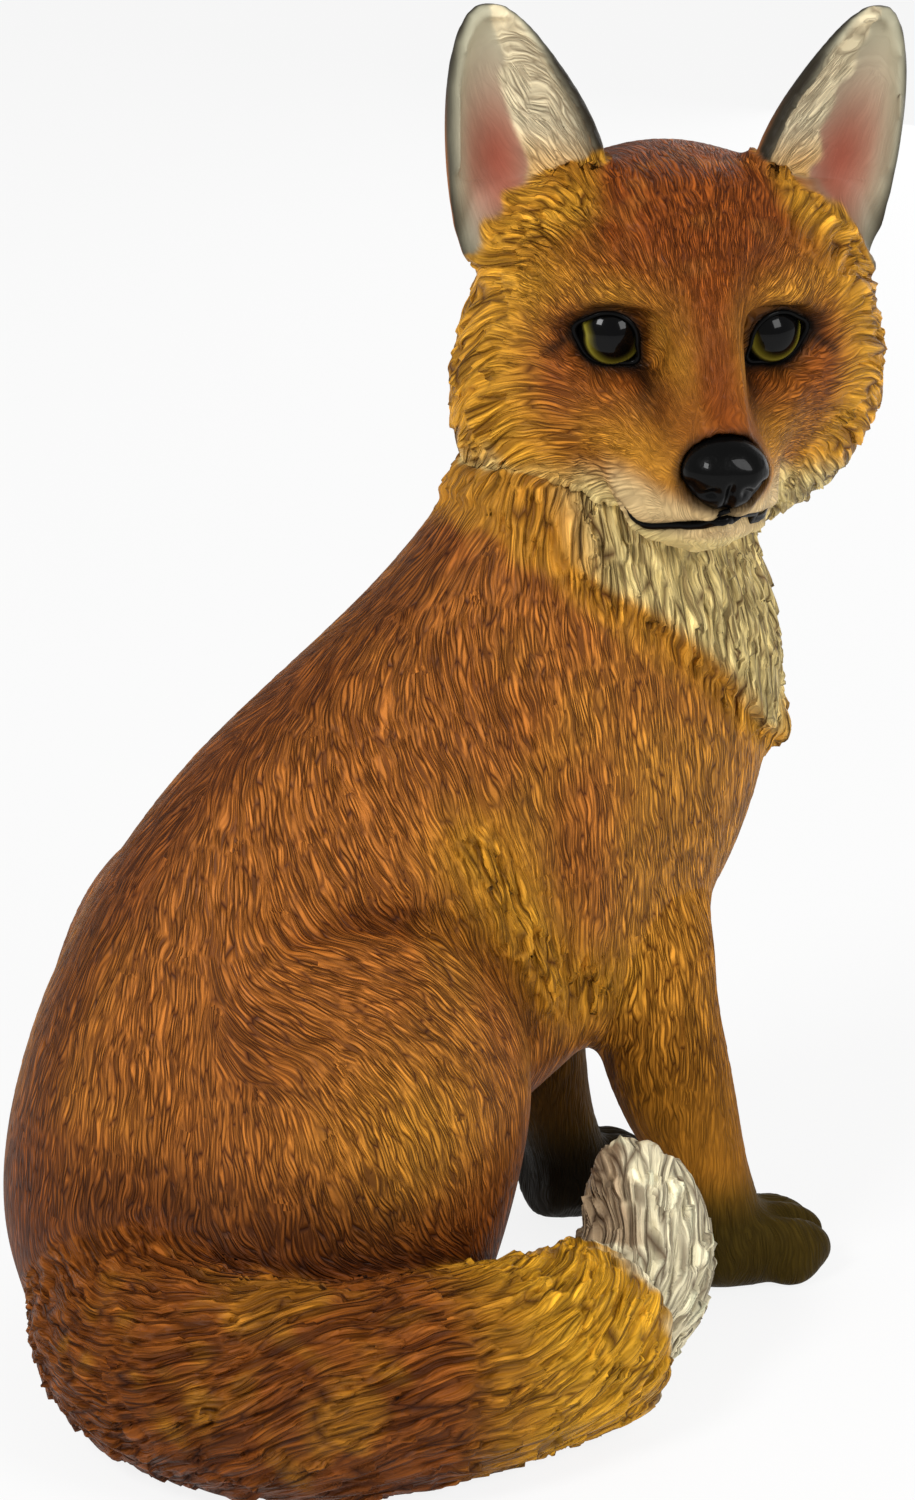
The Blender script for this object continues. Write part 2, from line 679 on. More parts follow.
def tufts(across, along, width, length, seed, layers):
    """Overlapping pointed tufts along the fur: 0 in the gaps, rising to 1 near each tip."""
    tallest = np.zeros(len(across))
    for layer in range(layers):
        wander = 0.5 * grain(across / (2.6 * width), along / (0.8 * length), seed + layer)
        u = across / width + layer * 0.37 + wander
        column = np.floor(u).astype(np.int64)
        v = along / length + chance_of(column, column * 0 + layer, seed)
        row = np.floor(v).astype(np.int64)
        fu, fv = u - column, v - row
        lean = (chance_of(column, row, seed + 7) - 0.5) * 0.5
        half = 0.52 * np.sqrt(np.clip(1 - fv**2.2, 0, 1)) * (0.75 + 0.25 * chance_of(column, row, seed + 9))
        off = np.abs(fu - 0.5 - lean * (fv - 0.5)) / np.maximum(half, 1e-3)
        size = 0.65 + 0.35 * chance_of(column, row, seed + 5)
        tallest = np.maximum(tallest, np.sqrt(np.clip(1 - off**2, 0, 1)) * (0.3 + 0.7 * fv) * size)
    return tallest


# Colours of the airbrushed resin, as on a screen
FOX_ORANGE = linear(168, 100, 38)
FOX_BACK = linear(122, 64, 22)
FOX_DEEP = linear(118, 60, 18)
FOX_RED = linear(144, 68, 18)
FOX_GOLD = linear(236, 172, 56)
FOX_CREAM = linear(244, 220, 150)
MUZZLE_PALE = linear(222, 192, 138)
LEG_BROWN = linear(150, 96, 26)
LEG_OLIVE = linear(92, 68, 18)
PAW_BLACK = linear(64, 50, 14)
SMUDGE = linear(34, 20, 8)
SOOT = linear(8, 7, 5)
EAR_PINK = linear(150, 50, 30)
EAR_GREY = linear(180, 176, 150)
EAR_HAIR = linear(222, 208, 172)
EAR_RIM = linear(44, 38, 28)
TAIL_GOLD = linear(236, 176, 46)
TAIL_BROWN = linear(152, 86, 28)
TIP_CREAM = linear(255, 244, 206)
TIP_BROWN = linear(158, 122, 88)


def collar(points):
    """How far each point is above the edge of the fur that hangs from the head over the breast."""
    return points[:, 2] - 0.873 * points[:, 1] - 350


def painted(points, normals, labels, hollow, lumps, coarse, tail):
    """The paint's colour at each point of the coat, and how dark the grooves of its fur are."""
    colour = np.tile(FOX_ORANGE, (len(points), 1))
    depth = np.ones(len(points))

    def brush(mask, tone):
        nonlocal colour
        m = np.clip(mask, 0, 1)[:, None]
        colour = colour * (1 - m) + tone * m

    x, y, z = points.T
    local = head_places(points)
    left, up, out = local.T
    is_head, is_ear = labels == HEAD, np.isin(labels, EARS)
    is_fore, is_hind = np.isin(labels, FORELEGS), np.isin(labels, HIND_PAWS)
    body = ~(is_head | is_ear)
    mottle = grain(x / 34 + 9, (y + z) / 40, 5) + 0.5 * grain(y / 18, z / 22, 6)
    ragged = grain(x / 7 + 3, (y - z) / 9, 8)

    # body: a dark band down the back, browner and more golden patches
    brush(body * 0.4 * smooth_step(0.2, 1.0, mottle), FOX_DEEP)
    brush(body * 0.2 * smooth_step(0.2, 1.0, -mottle), FOX_GOLD)
    back = body * smooth_step(26, 6, np.abs(x)) * smooth_step(-0.1, 0.45, normals[:, 1])
    brush(back * 0.85, FOX_BACK)
    brush(body * 0.8 * smooth_step(112, 62, z), FOX_DEEP)
    brush(body * 0.6 * smooth_step(106, 82, z) * smooth_step(-30, 5, y) * smooth_step(0, -40, x), FOX_DEEP * 0.45)
    brush(body * 0.35 * smooth_step(-92, -118, y) * smooth_step(228, 200, z), FOX_GOLD)
    folded = to_right(points)
    thigh = np.linalg.norm((folded - (-92, -12, 108)) / (60, 30, 22), axis=1)
    brush(body * 0.3 * bell(thigh, 1.0), TAIL_GOLD)
    brush(body * 0.5 * bell(path_distance(folded, BELLY_PITS), 16), TAIL_GOLD)

    # the breast: golden, then cream above the collar's edge
    edge = collar(points) + 5 * ragged
    brush(body * 0.55 * smooth_step(-16, -4, edge) * smooth_step(-60, -85, y), FOX_GOLD)
    brush(body * smooth_step(-2, 6, edge) * smooth_step(-92, -112, y), FOX_CREAM)
    brush(body * bell(np.linalg.norm(points - BREAST_CURL, axis=1), 9), FOX_GOLD)

    # legs: orange above, olive, then nearly black paws
    brush(is_fore * smooth_step(125, 85, z) * 0.7, LEG_BROWN)
    brush(is_fore * smooth_step(52, 32, z) * 0.9, LEG_OLIVE)
    brush(is_fore * smooth_step(40, 24, z), PAW_BLACK)
    brush(is_fore * (x > 0) * smooth_step(115, 60, z) * 0.8, LEG_OLIVE * 0.4)
    brush(is_fore * (x > 0) * smooth_step(42, 22, z) * 0.8, SOOT)
    brush(is_hind * 1.0, PAW_BLACK)
    depth *= 1 - 0.6 * is_fore * smooth_step(100, 40, z) - 0.6 * is_hind

    # tail: brown swirls, gold before a cream tip
    run, _, outward = tail_places(points)
    brush(tail * 0.8, TAIL_BROWN)
    brush(tail * 0.5 * smooth_step(0.1, -0.8, outward[:, 2]), FOX_DEEP)
    brush(tail * 0.5 * bell(run - 135, 45) * smooth_step(0.75, 0.3, outward[:, 2]), FOX_DEEP * 0.8)
    brush(tail * 0.2 * smooth_step(0.2, 0.9, mottle + 0.5 * ragged), TAIL_GOLD)
    brush(tail * smooth_step(176, 226, run) * 0.9, TAIL_GOLD)
    tip = tail * smooth_step(250, 262, run + 8 * ragged)
    brush(tip, TIP_CREAM)
    brush(tip * 0.75 * smooth_step(0.2, 0.75, outward[:, 1]) * smooth_step(268, 285, run), TIP_BROWN)
    depth *= 1 - 0.5 * tip

    # head: red forehead and bridge, golden cheeks and ruff, cream throat
    rim = np.hypot(left / 70, (up + 8) / 62)
    brush(is_head * 0.8, FOX_RED)
    brush(is_head * smooth_step(24, 46, up) * 0.2, FOX_DEEP)
    brush(is_head * 0.5 * smooth_step(0.3, 0.8, ragged + mottle), FOX_ORANGE)
    face = is_head * (out > 2)
    brush(is_head * smooth_step(16, 34, np.abs(left)) * smooth_step(30, 10, up) * 0.4, FOX_ORANGE)
    brush(is_head * bell(left, 13) * smooth_step(26, 8, up) * (out > 30) * 0.75, FOX_DEEP)
    brush(face * bell(np.hypot(left / 12, (up + 14) / 10), 1.0) * 0.25, FOX_RED)
    brush(is_head * smooth_step(0.64, 0.92, rim) * smooth_step(36, 14, up) * smooth_step(-46, -22, out), FOX_GOLD)
    brush(is_head * bell(over_fringe(local) + 3, 7) * smooth_step(24, 38, np.abs(left)) * (out > -20), FOX_GOLD)
    brush(is_head * smooth_step(-22, -44, out) * 0.85, FOX_ORANGE)
    brush(face * bell(np.hypot((np.abs(left) - 24) / 17, (up + 28) / 10), 1.1) * 0.5, FOX_GOLD)
    brush(face * bell(np.hypot((np.abs(left) - 12) / 5, (up - 6) / 14), 1.0) * 0.45, FOX_GOLD)
    brush(face * bell(np.hypot((np.abs(left) - 29) / 14, (up - 18) / 7), 1.0) * 0.5, FOX_GOLD)
    low = up + 0.1 * np.abs(left) + 5 * ragged
    brush(is_head * smooth_step(-34, -50, low) * smooth_step(-40, -14, out), FOX_CREAM)
    brush(is_head * smooth_step(-29, -41, up) * smooth_step(36, 52, out), MUZZLE_PALE)
    brush(is_head * smooth_step(-48, -54, up) * smooth_step(36, 52, out), FOX_CREAM)
    half_face = np.stack([np.abs(left), up, out], axis=1)
    brush(face * bell(path_distance(half_face, [(24, 32, 34), (14, 22, 43), (11, 8, 50)]), 5) * 0.5, FOX_DEEP)
    brush(face * bell(path_distance(half_face[:, :2], [(16, -7), (17, -15)]), 4.0) * (out > 20) * 0.5, SMUDGE)
    for side in (-1, 1):
        place, ring = eye_ring(points, side)
        above = smooth_step(-0.3, 0.6, place[:, 1] / EYE_HIGH)
        brush(face * smooth_step(1.5 + 0.45 * above, 1.1, ring) * 0.85, SMUDGE)
        brush(face * smooth_step(1.2, 1.08, ring), SOOT)
        beside = np.stack([place[:, 0] * side, place[:, 1]], axis=1)
        brush(face * bell(path_distance(beside, [(9, 2), (19, -4)]), 2.0) * 0.85, SMUDGE)
        brush(face * bell(path_distance(beside, [(-10, -7), (-14, -12)]), 2.4) * 0.6, SMUDGE)
    brush(is_head * (out > 30) * bell(path_distance(local, MOUTH_LINE), 2.2) * 0.9, SOOT)
    beside_nose = np.linalg.norm((local - NOSE_MIDDLE) / NOSE_SIZE, axis=1)
    brush(is_head * smooth_step(1.35, 1.05, beside_nose) * 0.85, SMUDGE)
    muzzle = smooth_step(38, 62, out)
    depth *= 1 - is_head * (0.6 * muzzle + 0.2 * smooth_step(0.8, 0.4, rim) * (1 - muzzle))

    # ears: pink and grey inside, cream hair along the inner edge, dark rim and back
    _, rise, share = ear_places(local)
    inner = is_ear * smooth_step(0.05, 0.35, normals @ FACE_OUT)
    brush(is_ear * 1.0, EAR_RIM)
    brush(is_ear * (1 - inner) * smooth_step(0.75, 0.4, rise), FOX_ORANGE)
    brush(inner * smooth_step(1.0, 0.84, np.abs(share)), EAR_GREY)
    brush(inner * 0.5 * bell(np.abs(share) - 0.98, 0.16), EAR_RIM)
    cup = bell(np.hypot((share - 0.3) / 0.62, (rise - 0.46) / 0.28), 1.0)
    brush(inner * 0.85 * cup * smooth_step(0.95, 0.6, share), EAR_PINK)
    brush(inner * 0.5 * smooth_step(0.4, 0.28, rise) * smooth_step(0.5, 0.9, share), EAR_RIM)
    hair = inner * smooth_step(0.04, -0.04, share + 0.12 * ragged - 0.25 * (rise - 0.6))
    hair *= smooth_step(-0.9, -0.66, share)
    brush(hair, EAR_HAIR)
    brush(inner * smooth_step(-0.62, -0.92, share) * smooth_step(0.95, 0.8, rise), EAR_RIM)
    brush(hair * smooth_step(0.6, 0.42, rise) * 0.6, FOX_GOLD)
    fringe = is_ear * smooth_step(3, 1.5, over_fringe(local) + 3 * ragged) * (out > -12)
    brush(fringe, FOX_GOLD * 0.7)
    depth *= 1 - is_ear * (1 - fringe) * (0.9 - 0.6 * hair)

    # shade: darker in creases and between tufts, lighter on the tufts
    light = 1 - coarse * (0.40 - 0.58 * lumps)
    light *= 1 - 0.35 * smooth_step(0.1, 0.7, hollow) * body
    light *= 1 - 0.15 * bell(path_distance(folded, HAUNCH_CREASE), 8) * (labels == TORSO)
    colour = colour ** (1 + 0.35 * (1 - np.clip(light, 0, 1)))[:, None] * np.clip(light, 0.12, 1.15)[:, None]
    return np.clip(colour, 0, 1), depth


def coarse_fur(points, labels, tail_share):
    """Where the fur is modelled in coarse tufts, from 0 to 1."""
    local = head_places(points)
    left, up, out = local.T
    rim = np.hypot(left / 70, (up + 8) / 62)
    ruff = np.maximum(smooth_step(0.68, 0.95, rim), smooth_step(-40, -54, up) * smooth_step(52, 34, out))
    ruff = np.maximum(ruff, bell(over_fringe(local) + 4, 7) * smooth_step(20, 34, np.abs(left)))
    crown = smooth_step(30, 44, up) * smooth_step(34, 24, np.abs(left))
    ruff *= (labels == HEAD) * smooth_step(-52, -24, out) * (1 - crown)
    breast = (labels == TORSO) * smooth_step(-14, -4, collar(points)) * smooth_step(-62, -92, points[:, 1])
    belly = (labels == TORSO) * bell(path_distance(to_right(points), BELLY_PITS), 14)
    return np.clip(ruff + breast + belly + 0.95 * tail_share, 0, 1)


def ear_hair(local, normals, labels):
    """Where the ears' inner hair is, from 0 to 1."""
    _, _, share = ear_places(local)
    front = np.isin(labels, EARS) * smooth_step(0.05, 0.35, normals @ FACE_OUT)
    return front * smooth_step(0.08, -0.05, share) * smooth_step(-0.95, -0.75, share)


def relief(points, normals, labels, coarse, across, along):
    """How far the fur stands off the skin, and the coarse tufts' own height from 0 to 1."""
    hair = ear_hair(head_places(points), normals, labels)
    smooth = np.isin(labels, EARS + HIND_PAWS) | (head_places(points)[:, 2] > 45)
    lumps = np.maximum(tufts(across, along, 7.0, 24, 31, 2), 0.8 * tufts(across, along, 4.4, 15, 47, 2))
    fine = tufts(across, along, 3.0, 14, 71, 2)
    hanging = (labels == TORSO) | (labels == HEAD)
    step = smooth_step(-2.0, 2.0, collar(points) + 9 * (lumps - 0.55)) * smooth_step(60, 20, collar(points))
    step *= hanging * smooth_step(-58, -80, points[:, 1]) * smooth_step(0.2, 0.6, coarse)
    pits = bell(path_distance(to_right(points), BELLY_PITS), 12)
    height = coarse * (4.6 + 2.4 * pits) * (lumps - 0.5) + 2.6 * step
    height += hair * 1.8 * (lumps - 0.3)
    height += 0.35 * (~smooth) * (fine - 0.5)
    return height, lumps


# How much nearer than the other pieces an ear counts, and how much a hollow's depth is spread
EAR_MARGIN, HOLLOW_GAIN = 1.5, 8
skin = fused_skin()
points = points_of(skin)
edges = edges_of(skin)
web = Web(len(points), edges)
near = distances_to_nodes(points)
for name in FUSED_NODES:
    near[name] = web.relax(near[name], np.full(len(points), 0.7), 5)
for name in ("left_ear", "right_ear"):
    near[name] -= EAR_MARGIN
labels = labels_of(points, near)
points = sculpt_body(points, normals_of(skin), near, labels, web)
labels = labels_of(points, near)
put_points(skin, points)
normals = unit(normals_of(skin))
flow = combed(points, normals, near, labels)
flow = unit(flat_to(web.relax(flow, np.ones(len(points)), 6), normals))
maps, inside = fur_maps(points, normals, flow, edges)


def corners_of(obj):
    """The vertex at each corner, and each face's first corner and number of corners."""
    faces = obj.data.polygons
    vertex = listed(obj.data.loops, "vertex_index", 1, np.int64)
    return vertex, listed(faces, "loop_start", 1, np.int64), listed(faces, "loop_total", 1, np.int64)


def write_fur_map(obj, name, place, scale, points, ways):
    """Stores one set of the coat's coordinates as a UV map. A face between two patches carries on from its first
    corner."""
    vertex, start, total = corners_of(obj)
    face = np.repeat(np.arange(len(start)), total)
    first = vertex[start][face]
    step = points[vertex] - points[first]
    guess = place[first] + np.stack([(way[first] * step).sum(1) for way in ways], axis=1) * scale[first][:, None]
    apart = np.abs(place[vertex] - guess).max(axis=1) > 6
    torn = np.zeros(len(start), bool)
    torn[face[apart]] = True
    uv = np.where(torn[face][:, None], guess, place[vertex])
    obj.data.uv_layers.new(name=name).data.foreach_set("uv", uv.ravel())


def read_fur_map(obj, name):
    """One set of the coat's coordinates at each vertex."""
    place = np.zeros((len(obj.data.vertices), 2))
    place[corners_of(obj)[0]] = listed(obj.data.uv_layers[name].data, "uv", 2)
    return place


def keep_values(obj, name, values):
    """Stores a number at each vertex."""
    attribute = obj.data.attributes.get(name) or obj.data.attributes.new(name, "FLOAT", "POINT")
    attribute.data.foreach_set("value", values)


def read_values(obj, name):
    """The number stored at each vertex."""
    return listed(obj.data.attributes[name].data, "value")


ways = (np.cross(normals, flow), flow)
write_fur_map(skin, "fur_a", *maps[0], points, ways)
write_fur_map(skin, "fur_b", *maps[1], points, ways)
keep_values(skin, "fur_mix", inside)
hollow = ((web.around(points) - points) * normals).sum(1)
keep_values(skin, "hollow", web.relax(hollow, np.full(len(points), 0.8), 8) * HOLLOW_GAIN)
for name in FUSED_NODES:
    keep_values(skin, "near_" + name, near[name])
apply_modifier(skin, "SUBSURF", levels=1, render_levels=1)
points = points_of(skin)
place_a, place_b = read_fur_map(skin, "fur_a"), read_fur_map(skin, "fur_b")
mix = smooth_step(3.0, 9.0, read_values(skin, "fur_mix"))
keep_values(skin, "fur_mix", mix)
normals = normals_of(skin)
for name in FUSED_NODES:
    near[name] = read_values(skin, "near_" + name)
    skin.data.attributes.remove(skin.data.attributes["near_" + name])
labels = labels_of(points, near)
tail_share = smooth_step(-5.0, 9.0, near["torso_shell"] - np.minimum(near["tail"], near["tail_tip"]))
tail_share[np.isin(labels, (TAIL, TAIL_TIP))] = 1
tail_share *= np.isin(labels, TAILED) * smooth_step(-10, 45, tail_places(points)[0])
web = Web(len(points), edges_of(skin))
hollow = read_values(skin, "hollow")
points = sculpt_toes(points, normals, labels)
points = sculpt_face(points, normals, labels)
put_points(skin, points)
normals = unit(normals_of(skin))
coarse = web.relax(coarse_fur(points, labels, tail_share), np.full(len(points), 0.5), 4)
rise_a, lumps_a = relief(points, normals, labels, coarse, *place_a.T)
rise_b, lumps_b = relief(points, normals, labels, coarse, *place_b.T)
height, lumps = rise_a * mix + rise_b * (1 - mix), lumps_a * mix + lumps_b * (1 - mix)
colour, depth = painted(points, normals, labels, hollow, lumps, coarse, tail_share)
colour = web.relax(colour, np.full(len(points), 0.4), 1)
points = points + normals * height[:, None]
points[:, 2] = np.maximum(points[:, 2], 0)
put_points(skin, points)
paint = skin.data.color_attributes.new("paint", "FLOAT_COLOR", "POINT")
paint.data.foreach_set("color", np.hstack([colour, np.ones((len(colour), 1))]).ravel())
keep_values(skin, "fur_depth", web.relax(depth, np.full(len(points), 0.5), 4))
keep_values(skin, "fur_coarse", coarse)


# Materials


def new_material(name):
    """A material, its nodes and links, and its Principled shader."""
    material = bpy.data.materials.new(name)
    material.use_nodes = True
    return material, material.node_tree.nodes, material.node_tree.links, material.node_tree.nodes["Principled BSDF"]


def math_maker(nodes, links):
    """A function that adds a Math node, fed with numbers or sockets, and gives its output."""

    def math_node(kind, a, b, clamp=False):
        node = nodes.new("ShaderNodeMath")
        node.operation, node.use_clamp = kind, clamp
        for socket, value in zip(node.inputs, (a, b)):
            if isinstance(value, (int, float)):
                socket.default_value = value
            else:
                links.new(value, socket)
        return node.outputs[0]

    return math_node


def strand_group():
    """A node group: from the coat's coordinates, the grooves between strands of fur."""
    group = bpy.data.node_groups.new("fur_strands", "ShaderNodeTree")
    face = group.interface
    face.new_socket("Map", in_out="INPUT", socket_type="NodeSocketVector")
    for name, value in (("Width", 1.5), ("Length", 12.0), ("Edge", 0.2)):
        face.new_socket(name, in_out="INPUT", socket_type="NodeSocketFloat").default_value = value
    face.new_socket("Groove", in_out="OUTPUT", socket_type="NodeSocketFloat")
    face.new_socket("Tone", in_out="OUTPUT", socket_type="NodeSocketFloat")
    nodes, links = group.nodes, group.links
    inp, out = nodes.new("NodeGroupInput"), nodes.new("NodeGroupOutput")
    math_node = math_maker(nodes, links)

    def noise(vector, scale, detail):
        node = nodes.new("ShaderNodeTexNoise")
        node.noise_dimensions = "2D"
        node.inputs["Scale"].default_value, node.inputs["Detail"].default_value = scale, detail
        links.new(vector, node.inputs["Vector"])
        return node.outputs[0]

    def stretched(vector, by):
        node = nodes.new("ShaderNodeVectorMath")
        node.operation = "MULTIPLY"
        node.inputs[1].default_value = by
        links.new(vector, node.inputs[0])
        return node.outputs[0]

    def cells(feature):
        node = nodes.new("ShaderNodeTexVoronoi")
        node.voronoi_dimensions, node.feature = "2D", feature
        node.inputs["Scale"].default_value = 1.0
        links.new(join.outputs[0], node.inputs["Vector"])
        return node.outputs

    # the strands' sides wander slowly
    split = nodes.new("ShaderNodeSeparateXYZ")
    links.new(inp.outputs["Map"], split.inputs[0])
    wander = noise(stretched(inp.outputs["Map"], (0.12, 0.05, 1)), 1.0, 1.0)
    shift = math_node("MULTIPLY", math_node("SUBTRACT", wander, 0.5), 4.5)
    u = math_node("DIVIDE", math_node("ADD", split.outputs[0], shift), inp.outputs["Width"])
    v = math_node("DIVIDE", split.outputs[1], inp.outputs["Length"])
    join = nodes.new("ShaderNodeCombineXYZ")
    links.new(u, join.inputs[0])
    links.new(v, join.inputs[1])

    # grooves between the strands, deeper in places, and finer ones along them
    fade = noise(join.outputs[0], 0.55, 2.0)
    distance = cells("DISTANCE_TO_EDGE")["Distance"]
    edge = math_node("SUBTRACT", 1.0, math_node("DIVIDE", distance, inp.outputs["Edge"]), True)
    weight = math_node("ADD", math_node("MULTIPLY", math_node("SUBTRACT", fade, 0.4), 2.4), 0.6, True)
    groove = math_node("MULTIPLY", math_node("POWER", edge, 0.8), weight, True)
    hairs = noise(stretched(join.outputs[0], (1.7, 0.5, 1)), 1.0, 1.0)
    fibre = math_node("MULTIPLY", math_node("SUBTRACT", 0.53, hairs), 5.0, True)
    groove = math_node("MAXIMUM", math_node("MULTIPLY", groove, 0.95), math_node("MULTIPLY", fibre, 0.75))
    links.new(groove, out.inputs["Groove"])

    # each strand has its own tone
    tone = nodes.new("ShaderNodeSeparateColor")
    links.new(cells("F1")["Color"], tone.inputs[0])
    links.new(tone.outputs[0], out.inputs["Tone"])
    return group


STRANDS = strand_group()
# A strand's width and length in millimetres, and the share of its width that its groove takes
FINE_STRAND, COARSE_STRAND = (1.2, 11.0, 0.26), (3.0, 22.0, 0.18)
GROOVE_TINT = (0.07, 0.03, 0.013, 1)
FINE_BUMP, COARSE_BUMP = 0.75, 1.8


def fur_material(name, sheen):
    """Painted resin fur: the paint, darkened in the grooves between strands, which are fine or coarse."""
    material, nodes, links, shader = new_material(name)
    math_node = math_maker(nodes, links)

    def attribute(label):
        node = nodes.new("ShaderNodeAttribute")
        node.attribute_name = label
        return node.outputs["Fac"]

    share, wide = attribute("fur_mix"), attribute("fur_coarse")
    found = []
    for strand in (FINE_STRAND, COARSE_STRAND):
        pair = []
        for map_name in ("fur_b", "fur_a"):
            where = nodes.new("ShaderNodeUVMap")
            where.uv_map = map_name
            group = nodes.new("ShaderNodeGroup")
            group.node_tree = STRANDS
            for socket, value in zip(("Width", "Length", "Edge"), strand):
                group.inputs[socket].default_value = value
            links.new(where.outputs[0], group.inputs["Map"])
            pair.append(group)
        for output in ("Groove", "Tone"):
            mix = nodes.new("ShaderNodeMix")
            links.new(share, mix.inputs["Factor"])
            links.new(pair[0].outputs[output], mix.inputs["A"])
            links.new(pair[1].outputs[output], mix.inputs["B"])
            found.append(mix.outputs["Result"])
    fine_groove, fine_tone, coarse_groove, coarse_tone = found
    shallow = math_node("MULTIPLY", fine_groove, attribute("fur_depth"))
    shallow = math_node("MULTIPLY", shallow, math_node("SUBTRACT", 1.0, math_node("MULTIPLY", wide, 0.45)))
    deep = math_node("MULTIPLY", coarse_groove, wide)
    carved = math_node("MAXIMUM", shallow, deep)
    paint_node = nodes.new("ShaderNodeVertexColor")
    paint_node.layer_name = "paint"
    dark = nodes.new("ShaderNodeMix")
    dark.data_type, dark.blend_type = "RGBA", "MULTIPLY"
    links.new(paint_node.outputs["Color"], dark.inputs["A"])
    dark.inputs["B"].default_value = GROOVE_TINT
    links.new(carved, dark.inputs["Factor"])
    tone = math_node("ADD", math_node("MULTIPLY", fine_tone, 0.75), math_node("MULTIPLY", coarse_tone, 0.3))
    tone = math_node("ADD", tone, 0.8)
    vary = nodes.new("ShaderNodeVectorMath")
    vary.operation = "SCALE"
    links.new(dark.outputs["Result"], vary.inputs[0])
    even = nodes.new("ShaderNodeMix")
    even.inputs["A"].default_value = 1.0
    links.new(attribute("fur_depth"), even.inputs["Factor"])
    links.new(tone, even.inputs["B"])
    links.new(even.outputs["Result"], vary.inputs["Scale"])
    links.new(vary.outputs[0], shader.inputs["Base Color"])
    height = math_node("ADD", math_node("MULTIPLY", shallow, FINE_BUMP), math_node("MULTIPLY", deep, COARSE_BUMP))
    bump = nodes.new("ShaderNodeBump")
    bump.inputs["Strength"].default_value = 1.0
    bump.inputs["Distance"].default_value = MM
    bump.invert = True
    links.new(height, bump.inputs["Height"])
    links.new(bump.outputs["Normal"], shader.inputs["Normal"])
    shader.inputs["Roughness"].default_value = 0.5
    shader.inputs["Specular IOR Level"].default_value = sheen
    return material


coat = fur_material("painted_fur", 0.12)
leg_coat = fur_material("dark_leg_fur", 0.03)


# The skin's pieces: name, label, the CAD node each stands for, and its finish
PIECES = [
    ("back_coat", TORSO, "torso_shell", "painted_resin"),
    ("breast_coat", TORSO, "torso_shell", "painted_resin"),
    ("right_haunch_coat", TORSO, "torso_shell", "painted_resin"),
    ("left_haunch_coat", TORSO, "torso_shell", "painted_resin"),
    ("head_coat", HEAD, "head_shell", "painted_resin"),
    ("left_ear_coat", LEFT_EAR, "left_ear", "ear_resin"),
    ("right_ear_coat", RIGHT_EAR, "right_ear", "ear_resin"),
    ("left_foreleg_coat", LEFT_FORELEG, "left_foreleg", "leg_resin"),
    ("right_foreleg_coat", RIGHT_FORELEG, "right_foreleg", "leg_resin"),
    ("left_hind_paw_coat", LEFT_HIND_PAW, "left_hind_paw", "leg_resin"),
    ("right_hind_paw_coat", RIGHT_HIND_PAW, "right_hind_paw", "leg_resin"),
    ("tail_coat", TAIL, "tail", "painted_resin"),
    ("tail_tip_coat", TAIL_TIP, "tail_tip", "white_resin"),
]
# The pieces after the first that the torso is split into, by their places in the list
BREAST, RIGHT_HAUNCH, LEFT_HAUNCH = 1, 2, 3


def cap(obj):
    """Closes each open edge of a piece with a fan of faces, inside the figure."""
    only(obj)
    bpy.ops.object.mode_set(mode="EDIT")
    bpy.ops.mesh.select_mode(type="EDGE")
    bpy.ops.mesh.select_all(action="DESELECT")
    bpy.ops.mesh.select_non_manifold(extend=False, use_wire=False, use_boundary=True, use_multi_face=False,
                                     use_non_contiguous=False, use_verts=False)
    bpy.ops.mesh.fill_holes(sides=0)
    bpy.ops.mesh.select_mode(type="FACE")
    bpy.ops.mesh.poke(center_mode="MEDIAN")
    bpy.ops.object.mode_set(mode="OBJECT")


def split(obj, labels, points):
    """Separates the skin into its pieces."""
    first = [next(i for i, piece in enumerate(PIECES) if piece[1] == label) for label in range(len(FUSED_NODES))]
    place = np.array(first)[labels]
    torso = labels == TORSO
    haunch = torso & (points[:, 1] > -45) & (points[:, 1] < 60) & (points[:, 2] < 146) & (np.abs(points[:, 0]) > 36)
    place[torso & (points[:, 1] < -80)] = BREAST
    place[haunch & (points[:, 0] < 0)] = RIGHT_HAUNCH
    place[haunch & (points[:, 0] > 0)] = LEFT_HAUNCH
    vertex, start, _ = corners_of(obj)
    for _ in PIECES:
        obj.data.materials.append(coat)
    obj.data.polygons.foreach_set("material_index", place[vertex[start]].astype(np.int32))
    normals = obj.data.attributes.new("coat_normal", "FLOAT_VECTOR", "POINT")
    normals.data.foreach_set("vector", normals_of(obj).ravel())
    keep_values(obj, "piece", place.astype(float))
    only(obj)
    bpy.ops.object.mode_set(mode="EDIT")
    bpy.ops.mesh.separate(type="MATERIAL")
    bpy.ops.object.mode_set(mode="OBJECT")

    # separating puts the material slots in another order, so each piece is known by its stored number
    for piece in list(bpy.context.selected_objects):
        name, _, node, finish = PIECES[int(np.bincount(read_values(piece, "piece").astype(np.int64)).argmax())]
        piece.name = piece.data.name = name
        piece.data.materials.clear()
        piece.data.materials.append(leg_coat if finish == "leg_resin" else coat)
        piece.data.polygons.foreach_set("material_index", np.zeros(len(piece.data.polygons), dtype=np.int32))
        cap(piece)
        bpy.ops.object.shade_smooth()
        kept = listed(piece.data.attributes["coat_normal"].data, "vector", 3)
        kept[np.linalg.norm(kept, axis=1) < 0.5] = (0, 0, 1)
        piece.data.normals_split_custom_set_from_vertices(kept)
        for attribute in ("coat_normal", "piece"):
            piece.data.attributes.remove(piece.data.attributes[attribute])
        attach(piece, "root")
        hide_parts(node)


# Eyes, nose and mouth


def placed(name, points_to_place, material, nodes_replaced):
    obj = bpy.context.active_object
    obj.name = obj.data.name = name
    put_points(obj, points_to_place)
    only(obj)
    bpy.ops.object.shade_smooth()
    obj.data.materials.append(material)
    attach(obj, "root")
    if nodes_replaced:
        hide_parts(*nodes_replaced)


